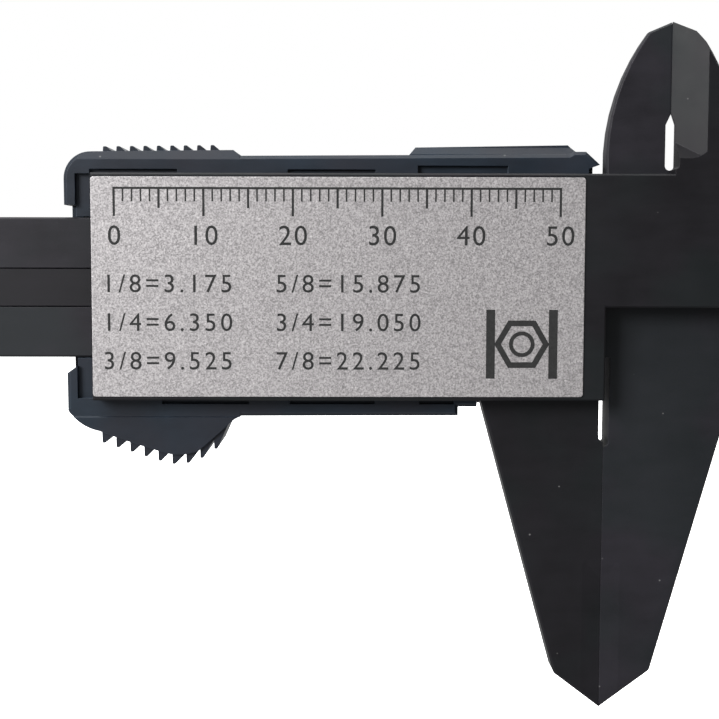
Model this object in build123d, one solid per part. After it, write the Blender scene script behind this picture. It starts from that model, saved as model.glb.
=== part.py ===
from build123d import *
import os

# Digital caliper, 150 mm, moulded in fibre-filled plastic. Millimetres.
# +X is the way the slider opens, +Z points from the outside jaws to the inside jaws, and
# -Y is the display side. The origin is where the zero line of the outside jaws crosses the
# centre line of the beam, half way through the beam's thickness.

# ---- driving dimensions ------------------------------------------------------------------
TRAVEL = 150.0          # how far the slider opens
SLIP = 0.1              # clearance between sliding faces
TOUCH = 0.02            # gap left between the closed measuring faces
FAR = 60.0              # longer than any cut needs

BEAM_HALF = 8.0         # beam half height
BEAM_REAR, BEAM_FRONT = 2.0, -2.0
BEAM_END = 220.0        # far end of the beam
HEAD_END = -15.0        # end of the fixed head
EDGE_BREAK = 0.2        # chamfer that breaks the moulded edges

JAW_TIP = -49.3         # tip of the outside jaws
# Each outside jaw: where its back turns in to the tip, and the top of its sloping back.
FIXED_JAW = ((5.88, -44.9), (14.74, -13.0))
SLIDER_JAW = ((5.4, -45.2), (14.23, -13.0))
FIXED_RELIEF, FIXED_RELIEF_END = 0.6, -18.4
SLIDER_RELIEF, SLIDER_RELIEF_END = 0.56, -17.8
JAW_BEVEL_BASE, JAW_BEVEL_WIDTH, JAW_BEVEL_DEPTH = -31.5, 2.2, 0.1
JAW_BEVEL_RUN = 25.0    # how gently the bevel's closed end slopes out

BLADE_X = -7.1          # zero line of the inside jaws
BLADE_BASE, BLADE_TIP = 13.4, 30.15     # the round back of an inside jaw starts here, and its tip
# Each inside jaw: its width at the root, then the width and height part way up and where the tip starts.
FIXED_BLADE = (7.18, (6.08, 22.2), (2.6, 29.05))
SLIDER_BLADE = (6.8, (5.77, 22.2), (2.27, 28.82))
BLADE_FRONT = ((-0.6, 13.0), (0.95, BLADE_TIP + 1))     # its front face leans back: Y and Z, low and high
BLADE_LAP = 0.03        # how far the closed inside jaws' edges pass each other
FIXED_BLADE_RELIEF, SLIDER_BLADE_RELIEF = 0.55, 0.42
RELIEF_LOW, RELIEF_HIGH = 13.45, 19.4
BLADE_BEVEL_BASE, BLADE_BEVEL_WIDTH = 14.65, 3.5
BLADE_BEVEL_RUN = 0.8
EDGE_LAND = 0.15        # thickness left at an inside jaw's measuring edge
BEVEL_CORNER = 3.0

GROOVE_HALF, GROOVE_START = 2.25, 3.0   # depth rod groove in the rear of the beam
ROD_HALF, ROD_REAR, ROD_FRONT = 2.12, 1.9, 0.12
STRIP_HALF, STRIP_START, STRIP_END = 5.5, 4.0, 205.0    # scale pocket in the beam's front
STRIP_DEPTH, STATOR_THICK = 0.65, 0.35

FRAME_START, FRAME_END = 0.45, 58.5     # slider frame along the beam
FRAME_TOP, FRAME_LOW, FRAME_REAR = 12.9, -12.7, 5.0
RAIL_START = 0.75
WALL_FRONT = BEAM_REAR + SLIP           # inner face of the frame's rear wall
RAIL_FRONT = -2.3                       # front face of the frame's rails
ARM_LOW = -2.13                         # lower edge of the arm that carries the inside jaw
LABEL_THICK, LABEL_START, LABEL_END = 0.2, 3.0, 58.4
LABEL_TOP, LABEL_LOW = 12.45, -12.25

SHELL_START, SHELL_END = 0.9, 61.86     # front housing
END_LEAN = 0.14         # its end leans out this much towards the top
SHELL_TOP, SHELL_LOW = 15.0, -14.83
TOP_RISE, LOW_RISE = 0.25, 0.12         # how much the top and bottom rise towards the jaws
SHELL_REAR, SHELL_FRONT = 2.5, -10.2
END_WALL, FACE_WALL = 1.2, 1.3
FACE = SHELL_FRONT + FACE_WALL          # inner side of the housing's front
ROOM_TOP, ROOM_LOW = FRAME_TOP + 0.05, FRAME_LOW - 0.05
CUT_REAR = RAIL_FRONT - 0.1             # floor of the cut-outs that clear the beam
NOSE_TOP, NOSE_LOW = 15.55, -13.68      # the housing's jaw end, above and below
NOSE_TOP_END, NOSE_LOW_END = 4.0, 16.9
NOSE_SLOPE = 1.6        # the nose's top slopes off this far from its end
JAW_WAY_END = 14.75     # where the lower wall opens for the moving jaw's root
CORNER_TOP, CORNER_LOW = 3.1, 0.9

BOARD_REAR = RAIL_FRONT                 # circuit board
BOARD_FRONT = BOARD_REAR - 1.0
BOARD_START, BOARD_END, BOARD_HALF = 2.6, 58.0, 12.0
BOARD_SCREWS = [(22.6, 10.9), (22.6, -10.9), (41.0, -10.9)]

BOSSES = [(x, z) for x in (5.2, 56.0) for z in (9.8, -9.8)]
BOSS_R, PILOT_R, SCREW_R = 2.0, 0.85, 0.8
HEAD_R, HEAD_THICK, HEAD_ROOM = 1.9, 1.1, 2.1

WINDOW = (26.6, 52.0, -1.6, 10.4)       # display opening: X low, X high, Z low, Z high
LCD = (25.6, 52.9, -3.5, 12.0)
LCD_REAR, LCD_FRONT = -6.6, -8.8
HOLDER = (24.7, 53.8, -4.4, 12.8)
ZEBRA_Z, ZEBRA_X = (-2.5, 11.0), (27.0, 51.5)

BUTTONS = {"units": 13.0, "power": 31.0, "zero": 48.4}
BUTTON_Z, BUTTON_WIDE, BUTTON_HIGH = -8.6, 9.0, 4.6
BUTTON_PROUD, BUTTON_TRAVEL = 1.0, 0.3
SWITCH_THICK, SWITCH_STEM = 1.5, 0.4

CELL_X, CELL_Z, CELL_R, CELL_THICK = 13.5, 7.0, 5.8, 5.4
RING_WALL = 1.0
COVER_START, COVER_END, COVER_LOW = 3.5, 22.8, 0.6      # battery cover
COVER_GAP, COVER_REAR, LEDGE_TOP = 0.12, 1.7, 16.08
LEDGE_RISE = 0.3        # how much the ledge rises towards the jaws
TONGUE, TONGUE_REAR, TONGUE_FRONT = 0.6, -9.25, -9.75

GRIP_STEP, GRIP_FRONT = 0.15, -8.4
TEETH = 9
TOP_GRIP_START, TOP_GRIP_Z, TOP_TIP = 42.7, 15.46, 16.03
TOP_GRIP_RISE = 0.2     # how much the top grip rises towards the jaws
TOP_GRIP_SLOPE, TOP_GRIP_SLOPE_DEEP = 0.9, 0.6          # its sloped rear edge
TOP_TOOTH_START, TOP_PITCH, TOP_TOOTH_REAR = 45.12, 1.531, 1.7
LOW_TOOTH_START, LOW_PITCH = 44.88, 1.61
GRIP_TIP, GRIP_DEEPEST = -20.35, 49.2
SLOTS_TOP = [(49.0, 59.0, 0.5), (26.5, 36.5, 0.5), (11.4, 21.7, 0.95)]
SLOTS_LOW = [(41.0, 51.0, 0.6), (26.5, 36.3, 0.6), (17.4, 21.4, 0.6)]
SLOT_DEEP = 0.55
STEP_REAR, STEP_THICK = 1.9, 1.4        # the floor between the frame's end and the housing's lip

STOP_START, STOP_END, STOP_REAR = FRAME_END + TRAVEL + 0.5, 218.8, 3.9
STOP_HALF, STOP_SCREW_Z = 7.2, 4.8
STOP_SCREW_X = (STOP_START + STOP_END) / 2
RIVET_X, RIVET_R = 7.5, 0.8
GIB_START, GIB_END, GIB_THICK, GIB_ROOM = 7.0, 52.0, 0.9, 1.9


# ---- helpers -----------------------------------------------------------------------------
def slab(face, rear, front):
    """A face drawn in X and Z, as a solid from y = rear to y = front."""
    return extrude(Plane.XZ.offset(-rear) * face, amount=rear - front)


def plate(face, rear, front, sharp=()):
    """The same, with its edges broken front and rear, apart from those that lie at x in sharp."""
    solid = slab(face, rear, front)
    middle, reach = (rear + front) / 2, (rear - front) / 2 - 0.001
    rims = solid.edges().filter_by(lambda e: abs(e.center().Y - middle) > reach)
    rims = rims.filter_by(lambda e: all(abs(e.center().X - x) > 0.01 for x in sharp))
    return chamfer(rims, EDGE_BREAK)


def block(x0, x1, y0, y1, z0, z1):
    return Pos((x0 + x1) / 2, (y0 + y1) / 2, (z0 + z1) / 2) * Box(x1 - x0, y1 - y0, z1 - z0)


def rod_y(x, z, radius, rear, front):
    """A cylinder along Y."""
    return Pos(x, (rear + front) / 2, z) * Rot(90, 0, 0) * Cylinder(radius, rear - front)


def outline(*points):
    return make_face(Polyline(*points, close=True))


def along_x(x0, x1, *points):
    """A solid along X, with its section drawn in Y and Z."""
    return extrude(Plane.YZ.offset(x0) * outline(*points), amount=x1 - x0)


def rectangle(x0, x1, z0, z1, radius=0.0):
    shape = RectangleRounded(x1 - x0, z1 - z0, radius) if radius else Rectangle(x1 - x0, z1 - z0)
    return Pos((x0 + x1) / 2, (z0 + z1) / 2) * shape


def mirrored(shape, x):
    """The shape turned over about the plane at this x."""
    return mirror(shape, about=Plane.YZ.offset(x))


def top_circle(shape):
    """The round edge that lies furthest to the rear."""
    return shape.edges().filter_by(GeomType.CIRCLE).sort_by(Axis.Y)[-1]


def screw(x, z, rear, head_r, head_thick, shank_r, tip):
    """A pan-head screw with a cross recess, driven from the rear along -Y."""
    head = rod_y(x, z, head_r, rear, rear - head_thick)
    head = fillet(top_circle(head), head_thick * 0.3)
    arm, blade_half, depth = head_r * 0.55, head_r * 0.13, head_thick * 0.55
    for wide, high in ((arm, blade_half), (blade_half, arm)):
        head -= block(x - wide, x + wide, rear - depth, rear + 1, z - high, z + high)
    shank = rod_y(x, z, shank_r, rear - head_thick, tip)
    shank = chamfer(shank.edges().filter_by(GeomType.CIRCLE).sort_by(Axis.Y)[0], shank_r * 0.5)
    return head + shank


# ---- measuring jaws ----------------------------------------------------------------------
def blade_outline(base, width, middle, shoulder):
    """The inside jaw on the +X side of its zero line, standing on z = base."""
    root = (BLADE_X + width, BLADE_BASE)
    turn = (BLADE_X + shoulder[0], shoulder[1])
    back = ThreePointArc(root, (BLADE_X + middle[0], middle[1]), turn)
    rest = Polyline(turn, (BLADE_X, BLADE_TIP), (BLADE_X, base), (root[0], base), root)
    return make_face(back + rest)


def jaw_outline(top, shoulder, root):
    """The outside jaw on the +X side of the zero line, below z = top."""
    lean = (root[0] - shoulder[0]) / (root[1] - shoulder[1])
    top_x = root[0] + lean * (top - root[1])
    face = outline((0, top), (0, JAW_TIP), shoulder, (top_x, top))
    corner = face.vertices().sort_by_distance((*shoulder, 0))[0]
    return fillet(corner, 0.8)


def knife_cut(x, width, near, depth_y, z0, z1, run):
    """A wedge on the +X side of x, which thins a face at y = near until it is at y = depth_y at x.

    The corner of its closed end is rounded, and that end slopes by run for each millimetre of depth."""
    deep = 1 if depth_y > near else -1
    wedge = outline((x - 1, near - deep), (x + width, near), (x, depth_y), (x - 1, depth_y))
    wedge = extrude(Plane.XY.offset(z0) * wedge, amount=z1 - z0)
    closed_end, inward = (z0, 1) if z1 > BLADE_TIP else (z1, -1)
    window = rectangle(x - 1, x + width + 1, z0, z1)
    corner = window.vertices().sort_by_distance((x + width + 1, closed_end, 0))[0]
    slope = [(near + deep * d, closed_end + inward * run * d) for d in (-1, 4)]
    away = closed_end + inward * FAR
    ramp = along_x(x - 2, x + width + 2, *slope, (slope[1][0], away), (slope[0][0], away))
    return wedge & slab(fillet(corner, BEVEL_CORNER), FAR, -FAR) & ramp


def blade_relief(wide, rear, front):
    """The relief at the root of an inside jaw, round at the bottom and tapered out at the top."""
    x, low, high = BLADE_X, RELIEF_LOW + wide, RELIEF_HIGH + 0.4
    edge = x + wide
    notch = outline((x - 1, low), (edge, low), (edge, high - 1.2), (x, high), (x - 1, high))
    return slab(notch, rear + 1, front - 1) + rod_y(BLADE_X, low, wide, rear + 1, front - 1)


def jaw_cuts(relief, relief_end, top):
    """What is cut from an outside jaw on the +X side: the relief at its root and the thinned edge."""
    cuts = block(-1, relief, -FAR, FAR, relief_end + relief, top)
    cuts += rod_y(0, relief_end + relief, relief, FAR, -FAR)
    for near, way in ((BEAM_REAR, -1), (BEAM_FRONT, 1)):
        depth_y = near + way * JAW_BEVEL_DEPTH
        cuts += knife_cut(0, JAW_BEVEL_WIDTH, near, depth_y, JAW_TIP - 1, JAW_BEVEL_BASE, JAW_BEVEL_RUN)
    return cuts


def blade_cuts(relief, near, far):
    """What is cut from an inside jaw on the +X side: its relief, and its knife bevel, on the near face."""
    depth_y = far + EDGE_LAND * (1 if near > far else -1)
    top = BLADE_TIP + 1
    bevel = knife_cut(BLADE_X, BLADE_BEVEL_WIDTH, near, depth_y, BLADE_BEVEL_BASE, top, BLADE_BEVEL_RUN)
    return bevel + blade_relief(relief, max(near, far), min(near, far))


# ---- beam and what is fixed to it ---------------------------------------------------------
def beam():
    face = rectangle(HEAD_END, BEAM_END, -BEAM_HALF, BEAM_HALF)
    jaw = mirrored(jaw_outline(BEAM_FRONT, *FIXED_JAW), 0) & rectangle(HEAD_END, 0, JAW_TIP - 1, BEAM_FRONT)
    face += jaw + blade_outline(BEAM_REAR, *FIXED_BLADE)
    solid = plate(face, BEAM_REAR, BEAM_FRONT, sharp=(0, BLADE_X))
    solid -= mirrored(jaw_cuts(FIXED_RELIEF, FIXED_RELIEF_END, -BEAM_HALF), 0)
    solid -= blade_cuts(FIXED_BLADE_RELIEF, BEAM_FRONT, BEAM_REAR)
    low, high = BLADE_FRONT
    past = BEAM_FRONT - 1
    solid -= along_x(BLADE_X - 1, BLADE_X + FIXED_BLADE[0] + 1, low, high, (past, high[1]), (past, low[1]))
    solid -= block(GROOVE_START, BEAM_END + 1, 0, BEAM_REAR + 1, -GROOVE_HALF, GROOVE_HALF)
    pocket_floor = BEAM_FRONT + STRIP_DEPTH
    solid -= block(STRIP_START, STRIP_END, BEAM_FRONT - 1, pocket_floor, -STRIP_HALF, STRIP_HALF)
    for z in (-STOP_SCREW_Z, STOP_SCREW_Z):
        solid -= rod_y(STOP_SCREW_X, z, 0.72, BEAM_REAR + 1, -0.9)
    return solid


def scale_layer(rear, front):
    """One layer in the beam's front pocket."""
    half = STRIP_HALF - SLIP
    return block(STRIP_START + SLIP, STRIP_END - SLIP, front, rear, -half, half)


def end_stop():
    """The plate that stops the slider and keeps the depth rod in its groove."""
    solid = slab(rectangle(STOP_START, STOP_END, -STOP_HALF, STOP_HALF, 1.2), STOP_REAR, BEAM_REAR)
    solid = chamfer(solid.faces().sort_by(Axis.Y)[-1].edges(), 0.35)
    for z in (-STOP_SCREW_Z, STOP_SCREW_Z):
        solid -= rod_y(STOP_SCREW_X, z, 1.0, STOP_REAR + 1, BEAM_REAR - 1)
        solid -= rod_y(STOP_SCREW_X, z, 1.75, STOP_REAR + 1, STOP_REAR - 0.9)
    return solid


def end_stop_screws():
    rear = STOP_REAR - 0.05
    return [screw(STOP_SCREW_X, z, rear, 1.6, 0.85, 0.7, -0.7) for z in (-STOP_SCREW_Z, STOP_SCREW_Z)]


# ---- slider frame and the depth rod -------------------------------------------------------
def rails():
    """The two rails that run along the beam's edges."""
    solid = None
    for z0, z1 in ((BEAM_HALF + SLIP, FRAME_TOP), (FRAME_LOW, -BEAM_HALF - SLIP)):
        rail = block(RAIL_START, FRAME_END, RAIL_FRONT, WALL_FRONT + 0.5, z0, z1)
        solid = rail if solid is None else solid + rail
    return solid


def slider_frame():
    face = rectangle(FRAME_START, FRAME_END, FRAME_LOW, FRAME_TOP)
    face += rectangle(HEAD_END, FRAME_START + 1, ARM_LOW, FRAME_TOP)
    turn_x = BLADE_X + BLADE_LAP / 2
    face += mirrored(blade_outline(FRAME_TOP - 1, *SLIDER_BLADE), turn_x)
    wall = plate(face, FRAME_REAR, WALL_FRONT, sharp=(BLADE_X + BLADE_LAP,))
    wall -= mirrored(blade_cuts(SLIDER_BLADE_RELIEF, FRAME_REAR, WALL_FRONT), turn_x)
    jaw = plate(jaw_outline(-BEAM_HALF - SLIP, *SLIDER_JAW), BEAM_REAR, BEAM_FRONT, sharp=(0,))
    jaw -= jaw_cuts(SLIDER_RELIEF, SLIDER_RELIEF_END, 0)
    jaw -= block(-1, TOUCH, -FAR, FAR, JAW_TIP - 1, 0)
    root = rectangle(FRAME_START, SLIDER_JAW[1][0] - 0.6, FRAME_LOW, -BEAM_HALF - SLIP)
    solid = wall + rails() + jaw + slab(root, WALL_FRONT + 0.5, RAIL_FRONT)
    solid -= block(GIB_START - 0.2, GIB_END + 0.2, -1.75, 1.75, BEAM_HALF, BEAM_HALF + GIB_ROOM)
    for x, z in BOSSES:
        solid -= rod_y(x, z, 1.1, FRAME_REAR + 1, RAIL_FRONT - 1)
        solid -= rod_y(x, z, HEAD_ROOM, FRAME_REAR + 1, FRAME_REAR - HEAD_THICK - 0.15)
    for x, z in BOARD_SCREWS:
        solid -= rod_y(x, z, 0.62, RAIL_FRONT + 3.2, RAIL_FRONT - 1)
    solid -= rod_y(RIVET_X, 0, RIVET_R + 0.02, FRAME_REAR + 1, WALL_FRONT - 1)
    return solid - rod_y(RIVET_X, 0, 1.7, FRAME_REAR + 1, FRAME_REAR - 1.0)


def gib_strip():
    low = BEAM_HALF + 0.05
    bar = block(GIB_START, GIB_END, -1.6, 1.6, low, low + GIB_THICK)
    return chamfer(bar.edges().filter_by(Axis.Z), 0.4)


def gib_spring():
    """A bowed leaf between the gib strip and the roof of its pocket."""
    thick, rise, inset = 0.15, 0.75, 6.0
    low = BEAM_HALF + 0.06 + GIB_THICK
    x0, x1 = GIB_START + inset, GIB_END - inset
    middle = (x0 + x1) / 2
    under = ThreePointArc((x0, low), (middle, low + rise - thick), (x1, low))
    over = ThreePointArc((x1, low + thick), (middle, low + rise), (x0, low + thick))
    ends = Line((x1, low), (x1, low + thick)) + Line((x0, low + thick), (x0, low))
    return slab(make_face(under + over + ends), 1.3, -1.3)


def depth_rod():
    """A flat rod whose tip is stepped, so that it reaches past a fillet at the bottom of a hole."""
    bar = block(GROOVE_START + 1.2, BEAM_END, ROD_FRONT, ROD_REAR, -ROD_HALF, ROD_HALF)
    step = outline((BEAM_END - 6, ROD_HALF + 1), (BEAM_END - 5, -0.1), (BEAM_END + 1, -0.1),
                   (BEAM_END + 1, ROD_HALF + 1))
    return bar - slab(step, FAR, -FAR) - rod_y(RIVET_X, 0, RIVET_R + 0.02, FAR, -FAR)


def depth_rod_rivet():
    shank = rod_y(RIVET_X, 0, RIVET_R, FRAME_REAR - 0.9, ROD_FRONT + 0.05)
    head = rod_y(RIVET_X, 0, 1.6, FRAME_REAR - 0.15, FRAME_REAR - 0.95)
    return shank + fillet(top_circle(head), 0.4)


def rear_label():
    sheet = rectangle(LABEL_START, LABEL_END, LABEL_LOW, LABEL_TOP, 0.3)
    return slab(sheet, FRAME_REAR + LABEL_THICK, FRAME_REAR)


def housing_screws():
    return [screw(x, z, FRAME_REAR - 0.1, HEAD_R, HEAD_THICK, SCREW_R, -7.2) for x, z in BOSSES]


# ---- front housing ------------------------------------------------------------------------
def shell_outline():
    top, low, end = TOP_GRIP_Z, SHELL_LOW, SHELL_END + END_LEAN
    corner_top = JernArc((end, top - CORNER_TOP), (0, 1), CORNER_TOP, 90)
    corner_low = JernArc((SHELL_END - CORNER_LOW, low), (1, 0), CORNER_LOW, 90)
    side = Line((SHELL_END, low + CORNER_LOW), (end, top - CORNER_TOP))
    rest = Polyline(
        (end - CORNER_TOP, top), (TOP_GRIP_START, top + TOP_GRIP_RISE), (TOP_GRIP_START - 0.9, SHELL_TOP),
        (NOSE_TOP_END + 0.5, SHELL_TOP + TOP_RISE), (NOSE_TOP_END, NOSE_TOP),
        (SHELL_START + NOSE_SLOPE, NOSE_TOP),
        (SHELL_START, NOSE_TOP - 1.45), (SHELL_START, NOSE_LOW), (NOSE_LOW_END, NOSE_LOW),
        (NOSE_LOW_END, low + LOW_RISE), (SHELL_END - CORNER_LOW, low))
    return make_face(corner_top + rest + corner_low + side)


def shell_box():
    """The housing's outside, with its edges broken front and rear."""
    solid = slab(shell_outline(), SHELL_REAR, SHELL_FRONT)
    solid = chamfer(solid.faces().sort_by(Axis.Y)[0].edges(), 0.8)
    solid = chamfer(solid.faces().sort_by(Axis.Y)[-1].edges(), 0.4)
    low, deep = TOP_GRIP_Z - TOP_GRIP_SLOPE, SHELL_REAR - TOP_GRIP_SLOPE_DEEP
    past, above = SHELL_REAR + 1, TOP_GRIP_Z + 1
    slope = [(SHELL_REAR, low), (past, low), (past, above), (deep, above), (deep, TOP_GRIP_Z + TOP_GRIP_RISE)]
    return solid - along_x(TOP_GRIP_START - 0.9, SHELL_END + 1, *slope)


def low_grip_outline():
    """The thumb grip under the housing: a rounded end, a long shallow run and a short steep one."""
    end = ThreePointArc((61.82, -14.0), (60.35, -15.57), (58.2, -16.5))
    run = ThreePointArc((58.2, -16.5), (54.4, -17.87), (50.6, -19.05))
    heel = ThreePointArc((50.6, -19.05), (48.7, -19.22), (46.8, -18.78))
    steep = Line((46.8, -18.78), (43.38, -15.75))
    lead = ThreePointArc((43.38, -15.75), (42.75, -15.18), (42.0, SHELL_LOW))
    root = SHELL_LOW + 1.2
    close = Polyline((42.0, SHELL_LOW), (42.0, root), (61.0, root), (61.82, -14.0))
    return make_face(end + run + heel + steep + lead + close)


def low_tip(x):
    """How far down the lower grip's teeth reach at this x."""
    past = x - GRIP_DEEPEST
    return GRIP_TIP + (0.325 * max(0.0, past - 1.0) if past > 0 else 0.094 * past ** 2)


def tooth(x, tip, height, steepness):
    """A saw tooth with a rounded point at z = tip: steep on its +X side, and a ramp on the other.
    A negative height makes it point down."""
    base, flat = tip - height, 0.17
    ramp = flat + abs(height) / steepness
    face = outline((x + flat + 0.06, base), (x + flat, tip), (x - flat, tip), (x - ramp, base))
    return fillet(face.vertices().filter_by(lambda v: abs(v.Y - tip) < 0.01), 0.13)


def grips():
    """The lower grip stands a little proud of the rim, behind a sloped edge. Both grips have saw teeth."""
    solid = slab(low_grip_outline(), SHELL_REAR + GRIP_STEP, GRIP_FRONT)
    edge, past, root = SHELL_LOW + 0.05, SHELL_REAR + 1, SHELL_LOW + 3
    solid -= along_x(40, 63, (SHELL_REAR, edge), (past, edge - 1), (past, root), (SHELL_REAR, root))
    for i in range(TEETH):
        low_x = LOW_TOOTH_START + i * LOW_PITCH
        steepness = 1.0 + 0.28 * max(0.0, GRIP_DEEPEST - low_x)
        solid += slab(tooth(low_x, low_tip(low_x), -3.0, steepness), SHELL_REAR - 0.15, GRIP_FRONT + 0.3)
        top_x, top_tip = TOP_TOOTH_START + i * TOP_PITCH, TOP_TIP + TOP_GRIP_RISE * (1 - i / TEETH)
        solid += slab(tooth(top_x, top_tip, 0.75, 0.85), TOP_TOOTH_REAR, GRIP_FRONT + 0.3)
    return solid


def housing_room():
    """Everything inside the housing, and the cut-outs in its rim."""
    low, high = SHELL_START + END_WALL, SHELL_END - END_WALL
    room = block(low, high, FACE, SHELL_REAR + 1, ROOM_LOW, ROOM_TOP)
    # The jaw end is open for the frame's arm, and its upper lip is undercut.
    lip = outline((SHELL_START - 1, ROOM_LOW), (low + 0.1, ROOM_LOW), (low + 0.1, NOSE_TOP - 1.95),
                  (SHELL_START - 1, NOSE_TOP - 1.1))
    room += slab(lip, SHELL_REAR + 1, CUT_REAR)
    # The lower wall is open in front of the moving jaw's root.
    room += block(SHELL_START - 1, JAW_WAY_END, CUT_REAR, SHELL_REAR + 1, SHELL_LOW - 1, ROOM_LOW + 0.1)
    # The far end is open for the beam.
    notch = outline((high - 0.1, -9.0), (high, -9.0), (SHELL_END + 0.3, -10.05), (SHELL_END + 0.3, 9.4),
                    (high - 0.1, 9.4))
    room += slab(notch, SHELL_REAR + 1, CUT_REAR)
    for x0, x1, depth in SLOTS_TOP:
        room += block(x0, x1, SHELL_REAR - SLOT_DEEP, SHELL_REAR + 1, ROOM_TOP - 0.1, ROOM_TOP + depth)
    for x0, x1, depth in SLOTS_LOW:
        room += block(x0, x1, SHELL_REAR - SLOT_DEEP, SHELL_REAR + 1, ROOM_LOW - depth, ROOM_LOW + 0.1)
    return room


def cover_room():
    """Where the battery cover slides: the front opening, the side grooves and the gap in the upper wall."""
    x0, x1, low, high = COVER_START - COVER_GAP, COVER_END + COVER_GAP, COVER_LOW - COVER_GAP, LEDGE_TOP + 1
    room = block(x0, x1, SHELL_FRONT - 1, FACE + 0.1, low, high)
    room += block(x0, x1, SHELL_FRONT - 1, COVER_REAR + COVER_GAP, ROOM_TOP - 0.1, high)
    return room + block(x0 - TONGUE, x1 + TONGUE, TONGUE_FRONT - 0.06, TONGUE_REAR + 0.06, low, high)


def cell_ring():
    """The pocket that the cell drops into, open towards the top where the cover closes it."""
    inner = CELL_R + 0.15
    outer = inner + RING_WALL
    rear = BOARD_FRONT - 0.05
    ring = block(CELL_X - outer, CELL_X + outer, FACE - 0.1, rear, CELL_Z - outer, ROOM_TOP - 0.4)
    ring -= rod_y(CELL_X, CELL_Z, inner, FAR, -FAR)
    return ring - block(CELL_X - inner, CELL_X + inner, -FAR, FAR, CELL_Z, FAR)


def key_outline(x, growth, radius):
    """A button's outline, larger by growth across."""
    return Pos(x, BUTTON_Z) * RectangleRounded(BUTTON_WIDE + growth, BUTTON_HIGH + growth, radius)


def front_housing():
    solid = shell_box() + grips()
    solid -= housing_room()
    for z0, z1 in ((BEAM_HALF + SLIP, ROOM_TOP + 0.1), (ROOM_LOW - 0.1, -BEAM_HALF - SLIP)):
        inner = SHELL_END - END_WALL
        solid += block(FRAME_END + 0.03, inner + 0.03, STEP_REAR - STEP_THICK, STEP_REAR, z0, z1)
    x0, x1, z0, z1 = WINDOW
    solid -= block(x0, x1, SHELL_FRONT - 1, FACE + 1, z0, z1)
    solid -= block(x0 - 1, x1 + 1, SHELL_FRONT - 1, SHELL_FRONT + 0.8, z0 - 1, z1 + 1)
    for x in BUTTONS.values():
        solid -= slab(key_outline(x, 0.3, 1.6), FACE + 1, SHELL_FRONT - 1)
    for x, z in BOSSES:
        solid += rod_y(x, z, BOSS_R, RAIL_FRONT - 0.02, FACE - 0.1)
    solid += cell_ring()
    solid -= cover_room()
    for x, z in BOSSES:
        solid -= rod_y(x, z, PILOT_R, FAR, FACE + 0.6)
    return solid


def battery_cover():
    """A front plate with side tongues, and a top plate with a ridged finger ledge."""
    solid = block(COVER_START, COVER_END, SHELL_FRONT, FACE - 0.05, COVER_LOW, SHELL_TOP)
    solid += block(COVER_START, COVER_END, SHELL_FRONT, COVER_REAR, ROOM_TOP + 0.6, SHELL_TOP)
    root = SHELL_TOP - 0.3
    ledge = outline((COVER_START, root), (COVER_START, NOSE_TOP), (COVER_START + 0.9, LEDGE_TOP + LEDGE_RISE),
                    (COVER_END - 0.9, LEDGE_TOP), (COVER_END, SHELL_TOP), (COVER_END, root))
    ledge = slab(ledge, COVER_REAR, SHELL_FRONT + 0.9)
    slope = [(COVER_REAR, SHELL_TOP + 0.25), (COVER_REAR + 1, SHELL_TOP), (COVER_REAR + 1, LEDGE_TOP + 1),
             (COVER_REAR - 0.8, LEDGE_TOP + 1), (COVER_REAR - 0.8, LEDGE_TOP)]
    solid += ledge - along_x(COVER_START - 1, COVER_END + 1, *slope)
    side = TONGUE - COVER_GAP
    solid += block(COVER_START - side, COVER_END + side, TONGUE_FRONT, TONGUE_REAR, COVER_LOW, ROOM_TOP - 2)
    for i in range(7):
        x, bottom = (COVER_START + COVER_END) / 2 + (i - 3) * 1.3, LEDGE_TOP - 0.35
        solid -= block(x - 0.22, x + 0.22, SHELL_FRONT + 2.2, COVER_REAR - 1.4, bottom, LEDGE_TOP + 1)
    for i in range(3):
        z = 4.2 + i * 1.5
        solid -= block(9.0, 17.5, SHELL_FRONT - 1, SHELL_FRONT + 0.35, z - 0.3, z + 0.3)
    return solid


def display_window():
    x0, x1, z0, z1 = WINDOW
    rim = 0.95
    return block(x0 - rim, x1 + rim, SHELL_FRONT, SHELL_FRONT + 0.75, z0 - rim, z1 + rim)


def front_overlay():
    """The printed sheet on the front face, open at the display, the buttons and the battery cover."""
    sheet = rectangle(2.4, 60.5, -12.3, 13.9, 1.4)
    sheet -= rectangle(0, COVER_END + TONGUE + 0.4, COVER_LOW - 0.5, 20)
    x0, x1, z0, z1 = WINDOW
    sheet -= rectangle(x0 + 0.3, x1 - 0.3, z0 + 0.3, z1 - 0.3, 0.8)
    for x in BUTTONS.values():
        sheet -= key_outline(x, 0.6, 1.75)
    return slab(sheet, SHELL_FRONT, SHELL_FRONT - 0.18)


# ---- display, board and battery -------------------------------------------------------------
def lcd_panel():
    x0, x1, z0, z1 = LCD
    middle, step = (LCD_REAR + LCD_FRONT) / 2, 1.1
    return block(x0, x1, middle, LCD_REAR, z0, z1) + block(x0, x1, LCD_FRONT, middle, z0 + step, z1 - step)


def zebra_block(z, gap, front, rear):
    x0, x1 = ZEBRA_X
    return block(x0 - gap, x1 + gap, front, rear, z - 0.6 - gap, z + 0.6 + gap)


def zebra_strips():
    """The rubber strips that join the display glass to the board."""
    return [zebra_block(z, 0, LCD_REAR + 0.02, BOARD_FRONT - 0.02) for z in ZEBRA_Z]


def lcd_holder():
    x0, x1, z0, z1 = HOLDER
    gap = 0.08
    solid = block(x0, x1, LCD_FRONT + 0.15, BOARD_FRONT - 0.03, z0, z1)
    solid -= block(LCD[0] - gap, LCD[1] + gap, LCD_FRONT - 1, LCD_REAR + 0.01, LCD[2] - gap, LCD[3] + gap)
    for z in ZEBRA_Z:
        solid -= zebra_block(z, gap, LCD_REAR - 1, BOARD_FRONT + 1)
    return solid - block(28, 51, -5.6, BOARD_FRONT + 1, 0, 9)


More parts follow.
